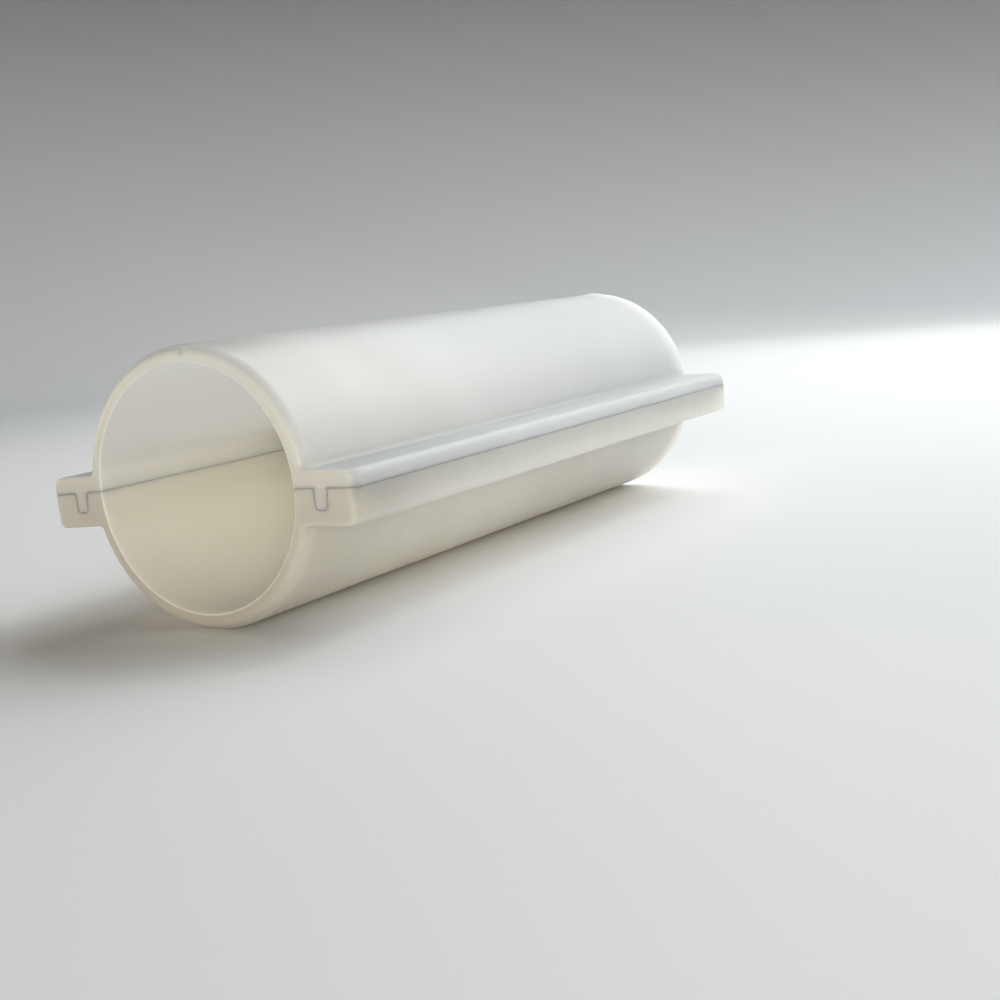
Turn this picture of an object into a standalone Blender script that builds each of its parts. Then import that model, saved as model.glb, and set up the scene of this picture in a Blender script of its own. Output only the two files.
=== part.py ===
"""A two-part silicone column mold, lying on its side with its parting plane level.

The bore runs along +Y from the open mouth (-Y) to the closed base (+Y). The flanges stand out along X.
The origin is on the surface that the mold lies on, below the middle of its length.
The mold is designed as one blank, parted in two: the upper half has a U-shaped tongue on its parting
face, and the lower half has the groove that takes it.
"""

import math

import bmesh
import bpy
from mathutils import Matrix

# Driving dimensions, in metres.
BORE_RADIUS = 0.0350
WALL = 0.0050
LENGTH = 0.2520
BASE = 0.0090
FLANGE_REACH = 0.0157
UPPER_FLANGE = 0.0048
LOWER_FLANGE = 0.0101
TONGUE_WIDTH = 0.0044
TONGUE_DEPTH = 0.0058
TONGUE_OFFSET = 0.0086

# Rounded edges.
RIM_ROUND = 0.0036
FLANGE_CORNER = 0.0037
FLANGE_EDGE = 0.0020
TONGUE_TURN = 0.0080

# Gap between the halves: on the parting plane, and all round the tongue.
GAP = 0.0003

# The tube's sides: an even number that isn't a multiple of four puts corners on the parting plane and
# a flat facet at the very bottom, which the mold lies on.
TUBE_SIDES = 50
ROUND_STEPS = 4

# Worked out from the above.
OUTER_RADIUS = BORE_RADIUS + WALL
AXIS_HEIGHT = OUTER_RADIUS * math.cos(math.pi / TUBE_SIDES)
MOUTH = -LENGTH / 2
END = LENGTH / 2
FLOOR_OF_BORE = END - BASE
FLANGE_HALF_WIDTH = OUTER_RADIUS + FLANGE_REACH
TONGUE_X = BORE_RADIUS + TONGUE_OFFSET
TONGUE_END = END - BASE / 2
OVERSHOOT = 0.010


def clear_scene():
    for old in list(bpy.data.objects):
        bpy.data.objects.remove(old, do_unlink=True)


def silicone(name, colour, roughness):
    material = bpy.data.materials.new(name)
    material.use_nodes = True
    shader = material.node_tree.nodes["Principled BSDF"]
    shader.inputs["Base Color"].default_value = (*colour, 1.0)
    shader.inputs["Roughness"].default_value = roughness
    shader.inputs["Metallic"].default_value = 0.0
    shader.inputs["Subsurface Weight"].default_value = 0.3
    return material


def object_from(name, mesh_builder):
    """A new object on the bore's axis, with its faces pointing out."""
    bm = bmesh.new()
    mesh_builder(bm)
    bmesh.ops.recalc_face_normals(bm, faces=bm.faces)
    mesh = bpy.data.meshes.new(name)
    bm.to_mesh(mesh)
    bm.free()
    made = bpy.data.objects.new(name, mesh)
    bpy.context.scene.collection.objects.link(made)
    made.location = (0.0, 0.0, AXIS_HEIGHT)
    return made


def guide_from(name, mesh_builder):
    """An object that only shapes others: drawn as wires and left out of the model."""
    guide = object_from(name, mesh_builder)
    guide.hide_render = True
    guide.display_type = "WIRE"
    return guide


def quarter_round(radius, y_start, y_end, edge_radius):
    """(radius, y) points of a rounded outer edge, from its end face at y_start on to the wall's side."""
    inward = math.copysign(1.0, y_end - y_start)
    points = []
    for step in range(ROUND_STEPS + 1):
        angle = math.pi / 2 * step / ROUND_STEPS
        across = radius - edge_radius + edge_radius * math.sin(angle)
        along = y_start + inward * edge_radius * (1.0 - math.cos(angle))
        points.append((across, along))
    return points


def turned(bm, profile):
    """A closed solid turned about the Y axis, from (radius, y) points between its two end faces."""
    rings = []
    for radius, y in profile:
        ring = []
        for side in range(TUBE_SIDES):
            angle = 2 * math.pi * side / TUBE_SIDES
            ring.append(bm.verts.new((radius * math.cos(angle), y, radius * math.sin(angle))))
        rings.append(ring)
    for near, far in zip(rings, rings[1:]):
        for side in range(TUBE_SIDES):
            after = (side + 1) % TUBE_SIDES
            bm.faces.new((near[side], near[after], far[after], far[side]))
    bm.faces.new(rings[0])
    bm.faces.new(rings[-1])


def tube_blank(bm):
    """The tube's outside, with its outer edge rounded at both ends."""
    mouth_edge = quarter_round(OUTER_RADIUS, MOUTH, END, RIM_ROUND)
    base_edge = quarter_round(OUTER_RADIUS, END, MOUTH, RIM_ROUND)
    turned(bm, mouth_edge + base_edge[::-1])


def bore(bm):
    turned(bm, [(BORE_RADIUS, MOUTH - OVERSHOOT), (BORE_RADIUS, FLOOR_OF_BORE)])


def box(bm, low, high):
    size = [b - a for a, b in zip(low, high)]
    centre = [(a + b) / 2 for a, b in zip(low, high)]
    placed = Matrix.Translation(centre) @ Matrix.Diagonal((*size, 1.0))
    bmesh.ops.create_cube(bm, size=1.0, matrix=placed)


def bevel(bm, edges, radius):
    bmesh.ops.bevel(
        bm,
        geom=edges,
        offset=radius,
        offset_type="OFFSET",
        segments=ROUND_STEPS,
        profile=0.5,
        affect="EDGES",
        clamp_overlap=True,
    )


def is_upright(edge):
    start, end = (v.co for v in edge.verts)
    return abs(start.z - end.z) > LOWER_FLANGE


def is_on_rim_of_plate(edge):
    start, end = (v.co for v in edge.verts)
    level = abs(start.z - end.z) < GAP / 10
    creased = edge.calc_face_angle(0.0) > math.radians(60)
    return level and creased


def flange_plate(bm):
    """Both flanges as one plate through the tube: plan corners first, then the top and bottom edges."""
    low = (-FLANGE_HALF_WIDTH, MOUTH, -LOWER_FLANGE)
    high = (FLANGE_HALF_WIDTH, END, UPPER_FLANGE)
    box(bm, low, high)
    bevel(bm, [e for e in bm.edges if is_upright(e)], FLANGE_CORNER)
    bevel(bm, [e for e in bm.edges if is_on_rim_of_plate(e)], FLANGE_EDGE)


def above_parting(bm):
    reach = FLANGE_HALF_WIDTH + OVERSHOOT
    low = (-reach, MOUTH - OVERSHOOT, GAP / 2)
    high = (reach, END + OVERSHOOT, reach)
    box(bm, low, high)


def below_parting(bm):
    reach = FLANGE_HALF_WIDTH + OVERSHOOT
    low = (-reach, MOUTH - OVERSHOOT, -reach)
    high = (reach, END + OVERSHOOT, -GAP / 2)
    box(bm, low, high)


def u_outline(half_width, start):
    """A U seen from above, from its right arm's start, round the base, to its left arm's start.

    half_width is positive for the U's outer line and negative for its inner line.
    """
    x = TONGUE_X + half_width
    end = TONGUE_END + half_width
    turn = TONGUE_TURN + half_width
    points = [(x, start)]
    for side in (1, -1):
        for step in range(ROUND_STEPS + 1):
            angle = math.pi / 2 * step / ROUND_STEPS
            if side < 0:
                angle = math.pi / 2 - angle
            across = side * (x - turn + turn * math.cos(angle))
            points.append((across, end - turn + turn * math.sin(angle)))
    points.append((-x, start))
    return points


def u_bar(bm, spare, top, start):
    """A U-shaped bar below `top`, this much fuller than the tongue on its sides and its underside."""
    outer = u_outline(TONGUE_WIDTH / 2 + spare, start)
    inner = u_outline(-TONGUE_WIDTH / 2 - spare, start)
    bottom = -TONGUE_DEPTH - spare
    upper_rows = [[bm.verts.new((x, y, top)) for x, y in line] for line in (outer, inner)]
    lower_rows = [[bm.verts.new((x, y, bottom)) for x, y in line] for line in (outer, inner)]
    corners = (upper_rows[0], upper_rows[1], lower_rows[1], lower_rows[0])
    for here, there in zip(corners, corners[1:] + corners[:1]):
        for step in range(len(outer) - 1):
            bm.faces.new((here[step], here[step + 1], there[step + 1], there[step]))
    for end in (0, -1):
        bm.faces.new([row[end] for row in corners])


def tongue(bm):
    """The upper half's tongue. It starts inside the half and its ends are flush with the mouth."""
    u_bar(bm, 0.0, UPPER_FLANGE / 2, MOUTH)


def groove(bm):
    """The cutter of the lower half's groove, which runs out through the mouth's face."""
    u_bar(bm, GAP, UPPER_FLANGE / 2, MOUTH - OVERSHOOT)


def add_boolean(target, operation, guide):
    modifier = target.modifiers.new(f"{operation.lower()}_{guide.name}", "BOOLEAN")
    modifier.operation = operation
    modifier.solver = "EXACT"
    modifier.object = guide


def half(name, material, side_of_parting, plate, hollow):
    """One half of the mold: the blank with its flanges and bore, on one side of the parting plane."""
    made = object_from(name, tube_blank)
    made.data.materials.append(material)
    add_boolean(made, "UNION", plate)
    add_boolean(made, "DIFFERENCE", hollow)
    add_boolean(made, "INTERSECT", side_of_parting)
    return made


def shade(made):
    made.data.shade_smooth()
    made.data.set_sharp_from_angle(angle=math.radians(30))


def build():
    clear_scene()
    milky = silicone("upper_silicone", (0.80, 0.80, 0.76), 0.42)
    warm = silicone("lower_silicone", (0.74, 0.72, 0.64), 0.42)
    plate = guide_from("guide_flange_plate", flange_plate)
    hollow = guide_from("guide_bore", bore)
    above = guide_from("guide_above_parting", above_parting)
    below = guide_from("guide_below_parting", below_parting)
    tongue_bar = guide_from("guide_tongue", tongue)
    groove_bar = guide_from("guide_groove", groove)

    upper = half("upper_half", milky, above, plate, hollow)
    add_boolean(upper, "UNION", tongue_bar)
    lower = half("lower_half", warm, below, plate, hollow)
    add_boolean(lower, "DIFFERENCE", groove_bar)
    for made in (upper, lower):
        shade(made)


build()
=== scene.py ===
"""The looks of a two-part silicone column mold: two finely meshed half shells in milky silicone.

The bore's axis runs along +Y, from the open mouth to the closed base. Sections of the shells are drawn in
(x, z) from that axis, with z counted away from the parting plane, so both halves use the same section.
"""

import math

import bmesh
import bpy
from mathutils import Matrix, Vector, noise


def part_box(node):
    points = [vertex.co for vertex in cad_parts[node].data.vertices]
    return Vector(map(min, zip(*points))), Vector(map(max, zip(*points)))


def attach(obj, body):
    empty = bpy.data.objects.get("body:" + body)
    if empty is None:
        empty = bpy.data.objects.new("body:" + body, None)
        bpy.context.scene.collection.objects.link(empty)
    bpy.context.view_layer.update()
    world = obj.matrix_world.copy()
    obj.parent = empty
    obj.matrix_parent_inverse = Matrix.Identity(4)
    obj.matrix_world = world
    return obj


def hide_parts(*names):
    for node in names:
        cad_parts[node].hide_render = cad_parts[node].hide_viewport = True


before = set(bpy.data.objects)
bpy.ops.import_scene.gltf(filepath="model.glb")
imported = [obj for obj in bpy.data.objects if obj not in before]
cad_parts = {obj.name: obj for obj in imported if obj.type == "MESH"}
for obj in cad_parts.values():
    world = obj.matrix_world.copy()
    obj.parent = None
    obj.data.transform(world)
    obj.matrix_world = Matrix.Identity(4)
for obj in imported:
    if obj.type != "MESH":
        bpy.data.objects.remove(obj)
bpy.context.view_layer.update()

MM = 0.001
QUARTER = math.pi / 2

# The frame: the mold's own sizes.
LOWER_LOW, LOWER_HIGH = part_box("lower_half")
MOUTH, END = LOWER_LOW.y, LOWER_HIGH.y
FLANGE_X = LOWER_HIGH.x
CAD_GAP = 0.3 * MM
AXIS_Z = LOWER_HIGH.z + CAD_GAP / 2
OUTER = 40 * MM
BORE = 35 * MM
BASE = 9 * MM
BORE_FLOOR = END - BASE
UPPER_FLANGE = 4.8 * MM
LOWER_FLANGE = 10.1 * MM

# Edges.
RIM_ROUND = 3.6 * MM
FLANGE_CORNER = 3.7 * MM
FLANGE_END_ROUND = 0.8 * MM
UPPER_EDGE = 2.6 * MM
LOWER_EDGE = 2.4 * MM
ROOT_FILLET = 1.8 * MM
BORE_LIP = 0.4 * MM
BORE_FILLET = 1.5 * MM
PARTING_EDGE = 0.03 * MM

# Tongue and groove: the centre line's place beside the bore and in the base, then the section.
TONGUE_X = BORE + 8.6 * MM
TONGUE_Y = END - BASE / 2
TONGUE_TURN = 8 * MM
TONGUE_WIDTH = 4.4 * MM
TONGUE_DEPTH = 5.8 * MM
TONGUE_TAPER = 0.25 * MM
TONGUE_CORNER = 0.6 * MM
TONGUE_INSET = 0.05 * MM
GROOVE_SPARE = 0.02 * MM

# How the halves lie on each other.
SEAM = 0.02 * MM
UPPER_SHIFT = -0.08 * MM

# The left flange's droop: its slope at the mouth, and the share of it that is gone at the far end.
DROOP = math.tan(math.radians(2.8))
DROOP_LOST = 0.6

# The faint unevenness of a hand-poured casting: its height, and its waves to a metre.
WOBBLE = 0.14 * MM
WOBBLE_ACROSS = 30
WOBBLE_ALONG = 22

# Trimmed moulding marks, as (centre from the axis, radii): lumps to join on, and pits to cut.
UPPER_LUMPS = [
    ((0.0, END - 1.2 * MM, OUTER - 0.35 * MM), (3.7 * MM, 1.2 * MM, 0.75 * MM)),
    ((2.4 * MM, MOUTH + 1.3 * MM, OUTER - 1.0 * MM), (0.9 * MM, 0.7 * MM, 0.45 * MM)),
]
UPPER_PITS = [
    ((1.2 * MM, MOUTH + 0.5 * MM, OUTER - 1.7 * MM), (0.22 * MM, 0.6 * MM, 1.3 * MM)),
    ((42.2 * MM, MOUTH, 0.1 * MM), (0.45 * MM, 0.35 * MM, 0.3 * MM)),
    ((-35.4 * MM, MOUTH, 0.2 * MM), (0.3 * MM, 0.3 * MM, 0.4 * MM)),
]
LOWER_LUMPS = [
    ((-18.6 * MM, MOUTH + 21.6 * MM, 29.65 * MM), (0.8 * MM, 0.4 * MM, 0.35 * MM)),
    ((-20.8 * MM, MOUTH + 22.9 * MM, 28.15 * MM), (0.35 * MM, 0.3 * MM, 0.3 * MM)),
    ((-16.9 * MM, MOUTH + 21.2 * MM, 30.65 * MM), (0.3 * MM, 0.25 * MM, 0.25 * MM)),
]
LOWER_PITS = [
    ((35.2 * MM, MOUTH, 0.5 * MM), (0.5 * MM, 0.45 * MM, 0.4 * MM)),
    ((45.9 * MM, MOUTH, 1.6 * MM), (0.3 * MM, 0.3 * MM, 0.5 * MM)),
    ((-41.2 * MM, MOUTH, 1.1 * MM), (0.35 * MM, 0.3 * MM, 0.6 * MM)),
]

# How finely the shells are meshed.
ARC_STEPS = 84
ROUND_STEPS = 12
EDGE_STEPS = 6
LIP_STEPS = 3
MIDDLE_STATIONS = 34
SHARP_ANGLE = math.radians(38)

# The mouth's end face: its colour as painted shade at the bottom and painted light at the top, and a slight
# step of painted shade at the seam, darker below it.
END_FACE_SHADE = (0.55, 0.51, 0.43)
END_FACE_LIGHT = (0.88, 0.87, 0.82)
SEAM_SHADE_STEP = 0.10
HALF_SEAM = 0.2 * MM

# Painted shade near the mouth: the sides' colour there, as a share of what it is further on.
MOUTH_SHADE_SHARE = 0.70

# How far light goes inside the silicone before it scatters, in metres.
SCATTER_OUTSIDE = 0.03
SCATTER_SEAM = 0.008
SCATTER_END_FACE = 0.003
SCATTER_BORE_SEAM = 0.003

# The distances between which one look fades into the next.
FADE_PAST_BORE = (0.3 * MM, 0.6 * MM)
FADE_PAST_FLOOR = (1 * MM, 3 * MM)
FADE_PAST_END_FACE = (0.1 * MM, 0.9 * MM)
FADE_FROM_MOUTH = (5 * MM, 85 * MM)
FADE_FROM_SEAM = (0.5 * MM, 3 * MM)
FADE_IN_BORE = (4 * MM, 11 * MM)
FADE_POWER = 3.0

# The silicone's texture: scales in cells to a metre, and heights in metres.
CLOUD_SCALE = 22
CLOUD_RANGE = (0.35, 0.70)
CLOUD_STRENGTH = 0.25
CLOUD_TONE = 0.94
BUBBLE_SCALE = 230
BUBBLE_RANGE = (0.04, 0.10)
BUBBLE_STRENGTH = 0.35
BUBBLE_TONE = 1.06
SMUDGE_SCALE = 45
SMUDGE_RANGE = (0.35, 0.65)
ROUGHNESS_RANGE = (0.36, 0.48)
PEEL_SCALE = 900
PEEL_HEIGHT = 0.15 * MM
UNEVEN_SCALE = 70
UNEVEN_HEIGHT = 0.6 * MM


# ---------------------------------------------------------------- shapes

def drawn_in(depth, radius):
    """How far a rounded edge of this radius draws a face in, at this depth from the end."""
    if depth >= radius:
        return 0.0
    return radius - math.sqrt(radius**2 - (radius - depth) ** 2)


def arc(centre_x, centre_z, radius, start, end, steps):
    """Points (x, z) on an arc, its two ends included; angles in radians."""
    points = []
    for step in range(steps + 1):
        angle = start + (end - start) * step / steps
        points.append((centre_x + radius * math.cos(angle), centre_z + radius * math.sin(angle)))
    return points


def stations():
    """The y of each section: close together in the rounded ends and the bore's fillet."""
    rounding = [FLANGE_CORNER * (1 - math.cos(QUARTER * k / ROUND_STEPS)) for k in range(ROUND_STEPS + 1)]
    first = MOUTH + FLANGE_CORNER
    last = BORE_FLOOR - BORE_FILLET
    middle = [first + (last - first) * k / MIDDLE_STATIONS for k in range(1, MIDDLE_STATIONS)]
    fillet = [last + BORE_FILLET * math.sin(QUARTER * k / EDGE_STEPS) for k in range(EDGE_STEPS + 1)]
    near = [MOUTH + d for d in rounding]
    far = [END - d for d in reversed(rounding)]
    return near + middle + fillet + far


def bore_radius(y):
    """The bore's radius at y: wider at the lip, and drawn in by the fillet at the floor."""
    lip = drawn_in(y - MOUTH, BORE_LIP)
    into_fillet = max(0.0, min(y, BORE_FLOOR) - (BORE_FLOOR - BORE_FILLET))
    fillet = BORE_FILLET - math.sqrt(max(0.0, BORE_FILLET**2 - into_fillet**2))
    return BORE + lip - fillet


def wobble(x, y, z, seed):
    """How far the casting's unevenness pushes a point out."""
    return WOBBLE * noise.noise(Vector((x * WOBBLE_ACROSS, y * WOBBLE_ALONG, z * WOBBLE_ACROSS + seed)))


def section(y, thickness, edge, seed):
    """The half shell's section at y: (outer path, inner path), both from the right edge to the left."""
    depth = min(y - MOUTH, END - y)
    outer = OUTER - drawn_in(depth, RIM_ROUND)
    side = FLANGE_X - drawn_in(depth, FLANGE_CORNER)
    top = thickness - drawn_in(depth, FLANGE_END_ROUND)
    inner = bore_radius(y)
    lip = PARTING_EDGE

    root_x = math.sqrt((outer + ROOT_FILLET) ** 2 - (top + ROOT_FILLET) ** 2)
    root_angle = math.atan2(top + ROOT_FILLET, root_x)

    right = [(inner + lip, 0.0)]
    right += arc(side - lip, lip, lip, -QUARTER, 0.0, LIP_STEPS)
    right += arc(side - edge, top - edge, edge, 0.0, QUARTER, EDGE_STEPS)
    right += arc(root_x, top + ROOT_FILLET, ROOT_FILLET, -QUARTER, root_angle - math.pi, EDGE_STEPS)
    dome = arc(0.0, 0.0, outer, root_angle, math.pi - root_angle, ARC_STEPS)[1:-1]
    left = [(-x, z) for x, z in reversed(right)]
    path = right + dome + left

    outline = []
    for x, z in path:
        reach = math.hypot(x, z)
        push = 1 + wobble(x, y, z, seed) / reach if z > lip else 1.0
        outline.append((x * push, z * push))

    start = math.asin(lip / inner)
    hollow = arc(inner + lip, lip, lip, -QUARTER, -math.pi, LIP_STEPS)[1:-1]
    round_bore = arc(0.0, 0.0, inner, start, math.pi - start, ARC_STEPS)
    hollow_left = [(-x, z) for x, z in reversed(hollow)]
    return outline, hollow + round_bore + hollow_left


def shell_mesh(name, thickness, edge, seed):
    """A closed half shell above its parting plane at z = 0, in axis coordinates."""
    bm = bmesh.new()
    ys = stations()
    floor_index = min(range(len(ys)), key=lambda i: abs(ys[i] - BORE_FLOOR))
    outers, inners = [], []
    for y in ys:
        outer, inner = section(y, thickness, edge, seed)
        outers.append([bm.verts.new((x, y, z)) for x, z in outer])
        if len(outers) <= floor_index + 1:
            inners.append([bm.verts.new((x, y, z)) for x, z in inner])

    def strip(near, far):
        for a, b, c, d in zip(near, near[1:], far[1:], far):
            bm.faces.new((a, b, c, d))

    for near, far in zip(outers, outers[1:]):
        strip(near, far)
    for index in range(floor_index):
        strip(inners[index], inners[index + 1])
        for side in (0, -1):
            near = [outers[index][side], inners[index][side]]
            far = [outers[index + 1][side], inners[index + 1][side]]
            strip(near, far)

    bm.faces.new(outers[0] + inners[0][::-1])
    bm.faces.new([outers[floor_index][0]] + inners[floor_index] + [outers[floor_index][-1]])
    bm.faces.new(outers[-1])
    beyond = outers[floor_index:]
    bm.faces.new([row[0] for row in beyond] + [row[-1] for row in reversed(beyond)])
    bmesh.ops.recalc_face_normals(bm, faces=bm.faces)
    return finished(bm, name)


def finished(bm, name):
    """A new object in the scene, from this mesh."""
    mesh = bpy.data.meshes.new(name)
    bm.to_mesh(mesh)
    bm.free()
    made = bpy.data.objects.new(name, mesh)
    bpy.context.scene.collection.objects.link(made)
    return made


def u_line(offset, start):
    """A U seen from above, `offset` outside the tongue's centre line, from its right arm to its left."""
    x = TONGUE_X + offset
    end = TONGUE_Y + offset
    turn = TONGUE_TURN + offset
    right = arc(x - turn, end - turn, turn, 0.0, QUARTER, ROUND_STEPS)
    left = [(-a, b) for a, b in reversed(right)]
    return [(x, start)] + right + left + [(-x, start)]


def u_bar(name, profile, start):
    """A U-shaped bar whose section is the closed profile of (offset, z) points."""
    bm = bmesh.new()
    rows = [[bm.verts.new((x, y, z)) for x, y in u_line(offset, start)] for offset, z in profile]
    for here, there in zip(rows, rows[1:] + rows[:1]):
        for a, b, c, d in zip(here, here[1:], there[1:], there):
            bm.faces.new((a, b, c, d))
    for end in (0, -1):
        bm.faces.new([row[end] for row in rows])
    bmesh.ops.recalc_face_normals(bm, faces=bm.faces)
    return finished(bm, name)


def tongue_profile(spare):
    """The tongue's section below the parting plane: tapered, with its tip's corners broken."""
    root = TONGUE_WIDTH / 2 + spare
    tip = root - TONGUE_TAPER
    depth = -TONGUE_DEPTH - spare
    right = [(root, 0.0), (tip, depth + TONGUE_CORNER), (tip - TONGUE_CORNER, depth)]
    return right + [(-x, z) for x, z in reversed(right)]


def boolean(target, operation, other):
    """Cuts or joins for good, and removes the other object."""
    modifier = target.modifiers.new(operation, "BOOLEAN")
    modifier.operation = operation
    modifier.solver = "EXACT"
    modifier.object = other
    graph = bpy.context.evaluated_depsgraph_get()
    mesh = bpy.data.meshes.new_from_object(target.evaluated_get(graph))
    target.modifiers.clear()
    target.data = mesh
    bpy.data.objects.remove(other)


def bead(name, centre, radii):
    """A small closed ellipsoid, in axis coordinates: a lump to join on, or a pit to cut."""
    bm = bmesh.new()
    bmesh.ops.create_icosphere(bm, subdivisions=3, radius=1.0)
    bmesh.ops.scale(bm, vec=radii, verts=bm.verts)
    bmesh.ops.translate(bm, vec=centre, verts=bm.verts)
    return finished(bm, name)


def mark(piece, lumps, pits):
    """Joins the lumps on and cuts the pits out."""
    for operation, marks in (("UNION", lumps), ("DIFFERENCE", pits)):
        for centre, radii in marks:
            boolean(piece, operation, bead("moulding_mark", centre, radii))


def place(piece, flip, lift, shift):
    """From axis coordinates to the row frame, mirrored below the parting plane where flip is set."""
    mirror = Matrix.Diagonal((1, 1, -1 if flip else 1, 1))
    piece.data.transform(Matrix.Translation((shift, 0, AXIS_Z + lift)) @ mirror)
    if flip:
        piece.data.flip_normals()


def rest_on_floor(piece):
    """Soft silicone flattens where it lies on the bench."""
    for vertex in piece.data.vertices:
        vertex.co.z = max(vertex.co.z, 0.0)


def shade(piece):
    """Smooth shading, kept sharp where faces meet at a real edge."""
    piece.data.shade_smooth()
    piece.data.set_sharp_from_angle(angle=SHARP_ANGLE)
    weighted = piece.modifiers.new("weighted", "WEIGHTED_NORMAL")
    weighted.keep_sharp = True


def droop(piece):
    """The left flange hangs a little, most at the mouth, as soft silicone does."""
    for vertex in piece.data.vertices:
        beyond = max(0.0, -vertex.co.x - BORE)
        along = (vertex.co.y - MOUTH) / (END - MOUTH)
        vertex.co.z -= beyond * DROOP * (1 - DROOP_LOST * along)


def upper_shell():
    """The upper half lies a little to one side, with its tongue still in the middle of the groove."""
    shell = shell_mesh("upper_shell", UPPER_FLANGE, UPPER_EDGE, seed=3.7)
    root_x, root_z = 1.8 * MM, 2 * MM
    profile = [(root_x, root_z), *tongue_profile(0.0), (-root_x, root_z)]
    bar = u_bar("tongue_bar", profile, MOUTH + TONGUE_INSET)
    bar.data.transform(Matrix.Translation((-UPPER_SHIFT, 0, 0)))
    boolean(shell, "UNION", bar)
    mark(shell, UPPER_LUMPS, UPPER_PITS)
    place(shell, flip=False, lift=SEAM / 2, shift=UPPER_SHIFT)
    droop(shell)
    return shell


def lower_shell():
    """The lower half is drawn upside down, then turned over. Its groove's edges are broken a little."""
    shell = shell_mesh("lower_shell", LOWER_FLANGE, LOWER_EDGE, seed=8.1)
    half_width = TONGUE_WIDTH / 2 + GROOVE_SPARE
    broken = 0.1 * MM
    overshoot = 0.4 * MM
    tip = [(x, -z) for x, z in tongue_profile(GROOVE_SPARE)[1:3]]
    right = [(half_width + broken, -overshoot), (half_width, broken)] + tip
    past_mouth = 5 * MM
    bar = u_bar("groove_bar", right + [(-x, z) for x, z in reversed(right)], MOUTH - past_mouth)
    boolean(shell, "DIFFERENCE", bar)
    mark(shell, LOWER_LUMPS, LOWER_PITS)
    place(shell, flip=True, lift=-SEAM / 2, shift=0.0)
    droop(shell)
    rest_on_floor(shell)
    return shell


# ---------------------------------------------------------------- materials

def new_material(name):
    """A new material: (itself, its node tree, its shader)."""
    material = bpy.data.materials.new(name)
    material.use_nodes = True
    tree = material.node_tree
    return material, tree, tree.nodes["Principled BSDF"]


class Shades:
    """The nodes of one material, all laid out in the mold's own coordinates."""

    def __init__(self, tree, offset):
        self.nodes, self.links = tree.nodes, tree.links
        self.point = self.nodes.new("ShaderNodeTexCoord").outputs["Object"]
        self.moved = self.vector("ADD", self.point, offset)

    def maths(self, operation, first, second=None):
        made = self.nodes.new("ShaderNodeMath")
        made.operation = operation
        self.links.new(first, made.inputs[0])
        if isinstance(second, float):
            made.inputs[1].default_value = second
        elif second is not None:
            self.links.new(second, made.inputs[1])
        return made.outputs["Value"]

    def vector(self, operation, first, second):
        made = self.nodes.new("ShaderNodeVectorMath")
        made.operation = operation
        self.links.new(first, made.inputs[0])
        made.inputs[1].default_value = second
        return made.outputs["Vector"]

    def noise(self, scale, detail, roughness=0.5):
        made = self.nodes.new("ShaderNodeTexNoise")
        made.inputs["Scale"].default_value = scale
        made.inputs["Detail"].default_value = detail
        made.inputs["Roughness"].default_value = roughness
        self.links.new(self.moved, made.inputs["Vector"])
        return made.outputs["Fac"]

    def cells(self, scale):
        made = self.nodes.new("ShaderNodeTexVoronoi")
        made.inputs["Scale"].default_value = scale
        self.links.new(self.moved, made.inputs["Vector"])
        return made.outputs["Distance"]

    def ranged(self, value, low, high, to_low, to_high):
        """The value, from between low and high to between to_low and to_high, and held at both ends."""
        made = self.nodes.new("ShaderNodeMapRange")
        made.inputs["From Min"].default_value = low
        made.inputs["From Max"].default_value = high
        made.inputs["To Min"].default_value = to_low
        made.inputs["To Max"].default_value = to_high
        self.links.new(value, made.inputs["Value"])
        return made.outputs["Result"]

    def fading(self, value, start, distances):
        """1 up to the nearer distance past start, and 0 from the further one on."""
        near, far = distances
        return self.ranged(value, start + near, start + far, 1.0, 0.0)

    def mixed(self, factor, first, second):
        """A colour between first, at factor 0, and second, at factor 1."""
        made = self.nodes.new("ShaderNodeMix")
        made.data_type = "RGBA"
        self.links.new(factor, made.inputs["Factor"])
        for socket, value in (("A", first), ("B", second)):
            if isinstance(value, tuple):
                made.inputs[socket].default_value = (*value, 1.0)
            else:
                self.links.new(value, made.inputs[socket])
        return made.outputs["Result"]

    def blended(self, factor, first, second):
        """A number between first, at factor 0, and second, at factor 1."""
        made = self.nodes.new("ShaderNodeMix")
        self.links.new(factor, made.inputs["Factor"])
        for socket, value in (("A", first), ("B", second)):
            if isinstance(value, float):
                made.inputs[socket].default_value = value
            else:
                self.links.new(value, made.inputs[socket])
        return made.outputs["Result"]

    def bump(self, height, strength, distance, below=None):
        """A bump, on top of the one below where there is one."""
        made = self.nodes.new("ShaderNodeBump")
        made.inputs["Strength"].default_value = strength
        made.inputs["Distance"].default_value = distance
        self.links.new(height, made.inputs["Height"])
        if below is not None:
            self.links.new(below, made.inputs["Normal"])
        return made.outputs["Normal"]


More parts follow.
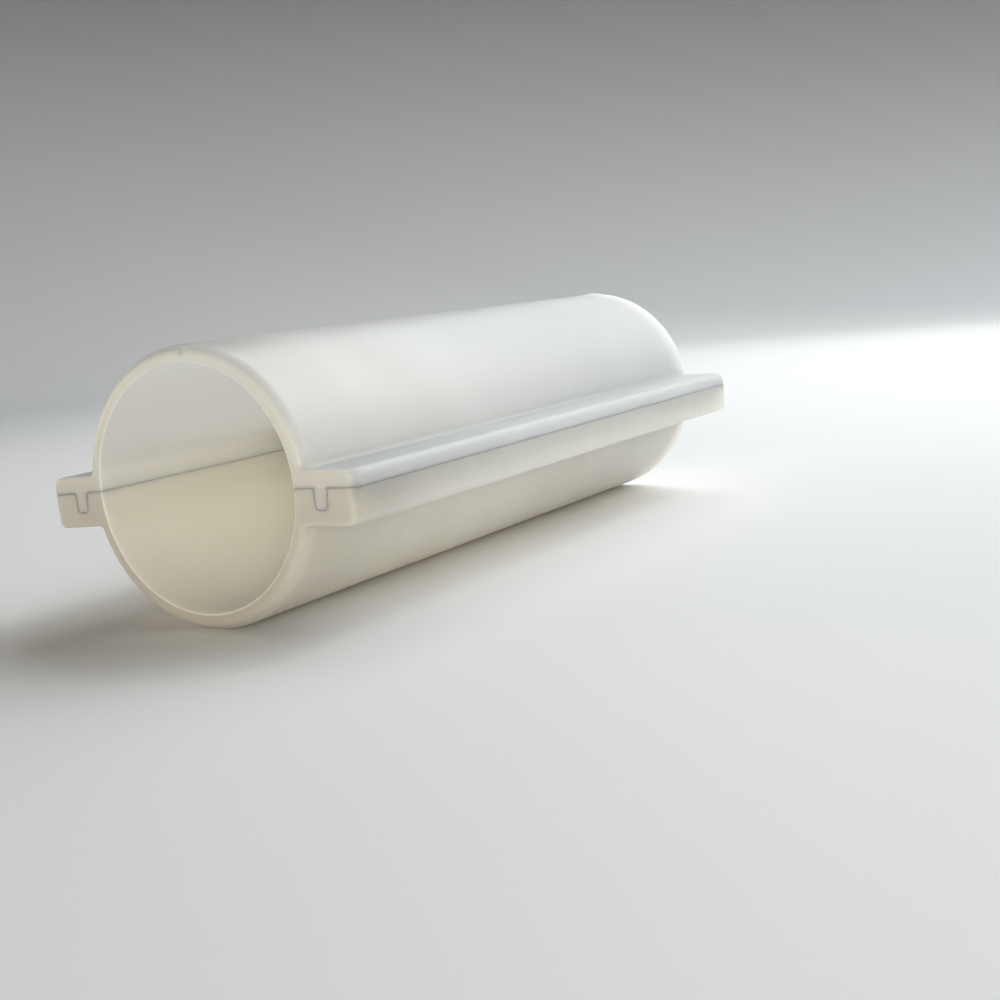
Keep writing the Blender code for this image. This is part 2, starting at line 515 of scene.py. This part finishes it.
class Regions:
    """Masks from 0 to 1 that say where on the mold a point is."""

    def __init__(self, shades):
        from_axis = shades.vector("SUBTRACT", shades.point, (0, 0, AXIS_Z))
        axes = shades.nodes.new("ShaderNodeSeparateXYZ")
        shades.links.new(from_axis, axes.inputs["Vector"])
        along, height = axes.outputs["Y"], axes.outputs["Z"]
        length = shades.nodes.new("ShaderNodeVectorMath")
        length.operation = "LENGTH"
        shades.links.new(shades.vector("MULTIPLY", from_axis, (1, 0, 1)), length.inputs[0])
        radius = length.outputs["Value"]
        from_seam = shades.maths("ABSOLUTE", height)

        within_bore = shades.fading(radius, BORE, FADE_PAST_BORE)
        before_base = shades.fading(along, BORE_FLOOR, FADE_PAST_FLOOR)
        self.bore = shades.maths("MULTIPLY", within_bore, before_base)
        self.end_face = shades.fading(along, MOUTH, FADE_PAST_END_FACE)
        self.near_mouth = shades.fading(along, MOUTH, FADE_FROM_MOUTH)
        self.seam = shades.fading(from_seam, 0.0, FADE_FROM_SEAM)

        above_seam = shades.ranged(from_seam, *FADE_IN_BORE, 0.0, 1.0)
        self.away_from_seam = shades.maths("POWER", above_seam, FADE_POWER)

        # Painted shade and light on the end face: dark at the bottom, light at the top, a step darker below
        # the seam.
        slope = shades.ranged(height, -OUTER, OUTER, 0.0, 1 - SEAM_SHADE_STEP)
        step = shades.ranged(height, -HALF_SEAM, HALF_SEAM, 0.0, SEAM_SHADE_STEP)
        self.shade_to_light = shades.maths("ADD", slope, step)


def milky_colour(shades, regions, colour, bore_colour):
    """Painted shade near the mouth and low on the end face, painted light high on it and in the bore;
    clouds and bubbles.
    """
    # Painted shade towards the end face's bottom, painted light towards its top.
    end_face = shades.mixed(regions.shade_to_light, END_FACE_SHADE, END_FACE_LIGHT)
    # Painted shade greys the sides near the mouth.
    shaded_at_mouth = tuple(c * MOUTH_SHADE_SHARE for c in colour)
    side = shades.mixed(regions.near_mouth, colour, shaded_at_mouth)
    outside = shades.mixed(regions.end_face, side, end_face)
    # Painted light: the bore is given a lighter colour than the outside.
    clear = shades.mixed(regions.bore, outside, bore_colour)

    clouds = shades.ranged(shades.noise(CLOUD_SCALE, detail=3), *CLOUD_RANGE, 0.0, CLOUD_STRENGTH)
    clouded = shades.mixed(clouds, clear, tuple(c * CLOUD_TONE for c in bore_colour))
    bubbles = shades.ranged(shades.cells(BUBBLE_SCALE), *BUBBLE_RANGE, BUBBLE_STRENGTH, 0.0)
    return shades.mixed(bubbles, clouded, tuple(min(1.0, c * BUBBLE_TONE) for c in colour))


def satin_roughness(shades):
    """A satin skin with faint smudges."""
    smudges = shades.noise(SMUDGE_SCALE, detail=4, roughness=0.6)
    return shades.ranged(smudges, *SMUDGE_RANGE, *ROUGHNESS_RANGE)


def cast_skin(shades):
    """A slight orange peel, with wider unevenness on top of it."""
    peel = shades.bump(shades.noise(PEEL_SCALE, detail=2), strength=0.12, distance=PEEL_HEIGHT)
    wide = shades.noise(UNEVEN_SCALE, detail=2)
    return shades.bump(wide, strength=0.10, distance=UNEVEN_HEIGHT, below=peel)


def scatter_depth(shades, regions, bore_scatter):
    """Short on the mouth's end face and near the seam, and deeper elsewhere."""
    outer = shades.blended(regions.seam, SCATTER_OUTSIDE, SCATTER_SEAM)
    inner = shades.blended(regions.away_from_seam, SCATTER_BORE_SEAM, bore_scatter)
    sides = shades.blended(regions.bore, outer, inner)
    return shades.blended(regions.end_face, sides, SCATTER_END_FACE)


def silicone(name, colour, bore_colour, bore_scatter, offset):
    """Milky translucent cast silicone. The offset moves the texture, so that the halves differ."""
    material, tree, shader = new_material(name)
    shades = Shades(tree, offset)
    regions = Regions(shades)
    varying = {
        "Base Color": milky_colour(shades, regions, colour, bore_colour),
        "Roughness": satin_roughness(shades),
        "Normal": cast_skin(shades),
        "Subsurface Scale": scatter_depth(shades, regions, bore_scatter),
    }
    for socket, value in varying.items():
        tree.links.new(value, shader.inputs[socket])
    shader.inputs["IOR"].default_value = 1.41
    shader.inputs["Subsurface Weight"].default_value = 1.0
    shader.inputs["Subsurface Radius"].default_value = (1.0, 0.95, 0.85)
    return material


# ---------------------------------------------------------------- the set

CAMERA_LENS = 53.16
VIEW_AZIMUTH = 30.32
VIEW_DOWN = 11.53
MOLD_ROLL = 6.34
CAMERA_FROM_MOUTH = Vector((0.2742, -0.3016, 0.0786))
LIGHTS_AIM = Vector((0, 0, 0.03))
# Backdrop paper: pale at the floor, with grey painted shade up the wall, full from the given height.
PAPER_PALE = (0.93, 0.93, 0.94, 1)
PAPER_SHADE_GREY = (0.28, 0.27, 0.285, 1)
PAPER_FULL_SHADE_HEIGHT = 0.6


def camera():
    """The view is set up with the mold rolled a little about its bore, then turned level with the mold."""
    data = bpy.data.cameras.new("camera")
    data.lens = CAMERA_LENS
    data.sensor_width = 36
    made = bpy.data.objects.new("camera", data)
    bpy.context.scene.collection.objects.link(made)
    aim = Matrix.Rotation(math.radians(VIEW_AZIMUTH), 4, "Z")
    aim = aim @ Matrix.Rotation(math.radians(90 - VIEW_DOWN), 4, "X")
    roll = Matrix.Rotation(math.radians(MOLD_ROLL), 4, "Y")
    mouth = Matrix.Translation((0, MOUTH, AXIS_Z))
    made.matrix_world = mouth @ roll @ Matrix.Translation(CAMERA_FROM_MOUTH) @ aim
    bpy.context.scene.camera = made


def backdrop():
    """A round sweep: a flat floor that turns up into a wall all round, with painted shade making it darker
    above than below.
    """
    floor_radius, turn, wall = 1.2, 0.45, 0.45
    floor_rings = 4
    sides = 96
    profile = [(floor_radius * k / floor_rings, 0.0) for k in range(1, floor_rings)]
    profile += arc(floor_radius, turn, turn, -QUARTER, 0.0, ROUND_STEPS)
    profile.append((floor_radius + turn, turn + wall))
    bm = bmesh.new()
    rings = []
    for radius, z in profile:
        angles = [2 * math.pi * side / sides for side in range(sides)]
        rings.append([bm.verts.new((radius * math.cos(a), radius * math.sin(a), z)) for a in angles])
    centre = bm.verts.new((0, 0, 0))
    for side in range(sides):
        after = (side + 1) % sides
        bm.faces.new((centre, rings[0][side], rings[0][after]))
        for low, high in zip(rings, rings[1:]):
            bm.faces.new((low[side], high[side], high[after], low[after]))
    made = finished(bm, "backdrop")
    made.data.shade_smooth()
    made.data.materials.append(paper())


def paper():
    """Matt backdrop paper, with painted shade grading it from pale at the floor to grey at the top of the
    wall.
    """
    material, tree, shader = new_material("paper")
    nodes, links = tree.nodes, tree.links
    coordinates = nodes.new("ShaderNodeTexCoord")
    axes = nodes.new("ShaderNodeSeparateXYZ")
    height = nodes.new("ShaderNodeMapRange")
    height.inputs["From Min"].default_value = 0.0
    height.inputs["From Max"].default_value = PAPER_FULL_SHADE_HEIGHT
    # Painted shade: the paper greys with height.
    grade = nodes.new("ShaderNodeMix")
    grade.data_type = "RGBA"
    grade.inputs["A"].default_value = PAPER_PALE
    grade.inputs["B"].default_value = PAPER_SHADE_GREY
    links.new(coordinates.outputs["Object"], axes.inputs["Vector"])
    links.new(axes.outputs["Z"], height.inputs["Value"])
    links.new(height.outputs["Result"], grade.inputs["Factor"])
    links.new(grade.outputs["Result"], shader.inputs["Base Color"])
    shader.inputs["Roughness"].default_value = 0.6
    return material


def area_light(name, position, size, power, colour, spread=180):
    """A soft box that points at the mold's middle; spread is in degrees."""
    data = bpy.data.lights.new(name, "AREA")
    data.shape = "RECTANGLE"
    data.size, data.size_y = size
    data.energy = power
    data.color = colour
    data.spread = math.radians(spread)
    made = bpy.data.objects.new(name, data)
    bpy.context.scene.collection.objects.link(made)
    made.location = position
    made.rotation_mode = "QUATERNION"
    made.rotation_quaternion = (LIGHTS_AIM - Vector(position)).to_track_quat("-Z", "Y")


def lights():
    """Three large soft boxes behind and above, and two small warm ones low in front and on the left."""
    area_light("back_right", (0.7, 0.7, 1.0), size=(1.0, 1.0), power=11.2, colour=(0.90, 0.95, 1.0))
    area_light("back_over", (0, 0.9, 1.1), size=(1.2, 0.8), power=8.0, colour=(0.95, 1.0, 0.98))
    area_light("back_low", (0, 1.1, 0.5), size=(1.0, 0.5), power=1.9, colour=(1.0, 1.0, 0.92))
    cream, amber = (1.0, 0.94, 0.80), (1.0, 0.87, 0.68)
    area_light("front_right", (0.72, -1.1, 0.24), size=(0.4, 0.3), power=0.82, colour=cream, spread=60)
    area_light("left", (-1.2, -0.2, 0.25), size=(0.8, 0.4), power=0.50, colour=amber, spread=60)


def room():
    """The faint warm light of the room, and enough bounces for light to cross the silicone."""
    world = bpy.data.worlds.new("room")
    world.use_nodes = True
    background = world.node_tree.nodes["Background"]
    background.inputs["Color"].default_value = (1.0, 0.76, 0.55, 1)
    background.inputs["Strength"].default_value = 0.02
    scene = bpy.context.scene
    scene.world = world
    scene.view_settings.view_transform = "Standard"
    scene.cycles.max_bounces = 24
    scene.cycles.diffuse_bounces = 16


# ---------------------------------------------------------------- the object

upper = upper_shell()
upper.data.materials.append(silicone(
    "upper_silicone",
    colour=(0.74, 0.755, 0.74),
    # The bore colour, lighter than the outside colour, is painted light.
    bore_colour=(0.98, 1.0, 0.99),
    bore_scatter=0.4,
    offset=(1.0, 0.4, 1.9),
))
lower = lower_shell()
lower.data.materials.append(silicone(
    "lower_silicone",
    # Painted shade: the lower half's colours are darker and warmer than the upper half's.
    colour=(0.67, 0.64, 0.57),
    # The bore colour, lighter than the outside colour, is painted light.
    bore_colour=(0.92, 0.89, 0.81),
    bore_scatter=0.008,
    offset=(5.0, 1.9, 9.5),
))
for piece, node, slot in ((upper, "upper_half", "upper_silicone"), (lower, "lower_half", "lower_silicone")):
    shade(piece)
    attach(piece, node)
    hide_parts(node)

camera()
backdrop()
lights()
room()
